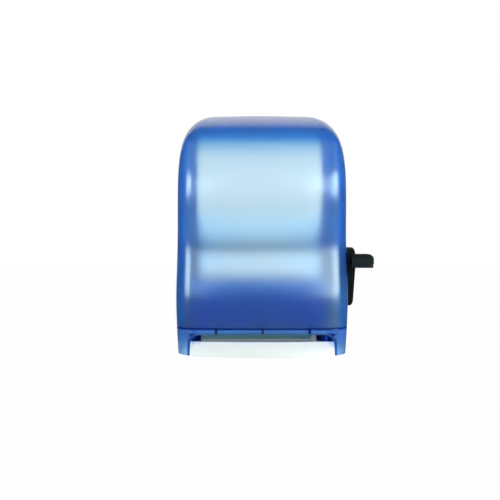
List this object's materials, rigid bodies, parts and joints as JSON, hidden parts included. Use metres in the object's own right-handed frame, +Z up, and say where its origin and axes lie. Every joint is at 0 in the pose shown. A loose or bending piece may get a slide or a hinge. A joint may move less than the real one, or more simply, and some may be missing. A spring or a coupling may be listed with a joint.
{
  "type": "lever roll towel dispenser",
  "caption": "Wall-mounted paper roll towel dispenser with a translucent hinged cover, side push lever, feed rollers and a tear bar behind a pale lip.",
  "frame": {"origin": "centre of the four wall screw holes, on the back face against the wall", "axes": "+Z up, +Y into the wall, +X to the right seen from the front"},
  "size_m": [0.3246, 0.2351, 0.419],
  "materials": {
    "cover_blue": "translucent blue moulded plastic, glossy outside",
    "frame_blue": "deep blue translucent moulded plastic, glossy outside",
    "housing_blue": "dark blue moulded plastic",
    "lip_white": "off-white moulded plastic",
    "lever_black": "black moulded plastic",
    "pad_black": "black ridged rubber",
    "chassis_dark": "dark moulded chassis plastic",
    "roller_grey": "grey-green roller rubber",
    "nylon": "natural white nylon",
    "brass": "sintered brass bush",
    "steel": "plain turned or sheet steel",
    "spring_steel": "drawn spring wire",
    "paper": "soft towel paper",
    "cardboard": "brown tube board"
  },
  "bodies": {
    "chassis": {"rear_housing": "housing_blue", "lower_frame": "frame_blue", "hinge_pin": "steel", "latch_keeper": "spring_steel", "delivery_lip": "lip_white", "tear_bar": "steel", "tear_bar_screws": "steel", "frame_screws": "steel", "left_side_plate": "chassis_dark", "right_side_plate": "chassis_dark", "chassis_screws": "steel", "inner_guard": "chassis_dark", "left_feed_bush": "brass", "right_feed_bush": "nylon", "lever_bushes": "nylon", "lever_spring": "spring_steel", "paper_web": "paper", "left_arm_bracket": "chassis_dark", "right_arm_bracket": "chassis_dark", "arm_pins": "steel", "arm_springs": "spring_steel", "pinch_springs": "spring_steel"},
    "cover": {"front_cover": "cover_blue", "latch_spring": "spring_steel"},
    "latch": {"latch_tab": "cover_blue"},
    "lever": {"lever_arm": "lever_black", "thumb_pad": "pad_black", "lever_shaft": "steel", "sector_gear": "nylon", "shaft_clip": "spring_steel", "lever_screw": "steel"},
    "drive": {"drive_gear": "nylon", "one_way_clutch": "steel"},
    "feed": {"feed_roller": "roller_grey", "feed_shaft": "steel", "feed_clip": "spring_steel"},
    "pinch_carriage": {"pinch_blocks": "nylon", "pinch_shaft": "steel"},
    "pinch": {"pinch_roller": "roller_grey"},
    "full_roll": {"towel_roll": "paper", "roll_core": "cardboard"},
    "old_roll": {"stub_roll": "paper", "stub_core": "cardboard"},
    "left_arm": {"left_roll_arm": "chassis_dark", "left_roll_hub": "nylon"},
    "right_arm": {"right_roll_arm": "chassis_dark", "right_roll_hub": "nylon"}
  },
  "joints": [
    {"name": "cover_open", "type": "hinge", "parent": "chassis", "child": "cover", "pos_m": [0, -0.21946, -0.16992], "axis": [1, 0, 0], "range_deg": [0, 95], "deforming": ["latch_keeper"]},
    {"name": "latch_press", "type": "slide", "parent": "cover", "child": "latch", "axis": [0, 0, -1], "range_m": [0, 0.004], "stiffness_N_per_m": 500, "springref_m": -0.003, "deforming": ["latch_spring"]},
    {"name": "lever_push", "type": "hinge", "parent": "chassis", "child": "lever", "pos_m": [0, -0.095, -0.09975], "axis": [1, 0, 0], "range_deg": [0, 45], "stiffness_Nm_per_rad": 0.2, "springref_deg": -40.11},
    {"name": "drive_gear_spin", "type": "hinge", "parent": "chassis", "child": "drive", "pos_m": [0, -0.14, -0.168], "axis": [1, 0, 0], "range_deg": [-244, 0]},
    {"name": "feed_roller_spin", "type": "hinge", "parent": "chassis", "child": "feed", "pos_m": [0, -0.14, -0.168], "axis": [1, 0, 0], "continuous": true},
    {"name": "pinch_float", "type": "slide", "parent": "chassis", "child": "pinch_carriage", "axis": [0, 1, 0], "range_m": [0, 0.0015], "stiffness_N_per_m": 3000, "springref_m": -0.002, "deforming": ["pinch_springs"]},
    {"name": "pinch_roller_spin", "type": "hinge", "parent": "pinch_carriage", "child": "pinch", "pos_m": [0, -0.105, -0.168], "axis": [1, 0, 0], "continuous": true},
    {"name": "old_roll_spin", "type": "hinge", "parent": "chassis", "child": "old_roll", "pos_m": [0, -0.135, -0.07006], "axis": [1, 0, 0], "continuous": true},
    {"name": "full_roll_spin", "type": "hinge", "parent": "chassis", "child": "full_roll", "pos_m": [0, -0.112, 0.065], "axis": [1, 0, 0], "continuous": true},
    {"name": "left_arm_swing", "type": "hinge", "parent": "chassis", "child": "left_arm", "pos_m": [-0.11, -0.014, 0.065], "axis": [0, 0, -1], "range_deg": [0, 10], "stiffness_Nm_per_rad": 0.6, "springref_deg": -11.46},
    {"name": "right_arm_swing", "type": "hinge", "parent": "chassis", "child": "right_arm", "pos_m": [0.102, -0.014, 0.065], "axis": [0, 0, 1], "range_deg": [0, 10], "stiffness_Nm_per_rad": 0.6, "springref_deg": -11.46}
  ],
  "couplings": [
    {"joint": "drive_gear_spin", "follows": "lever_push", "ratio": -5.4118},
    {"joint": "pinch_roller_spin", "follows": "feed_roller_spin", "ratio": -2.0909},
    {"joint": "old_roll_spin", "follows": "feed_roller_spin", "ratio": 0.76667}
  ]
}
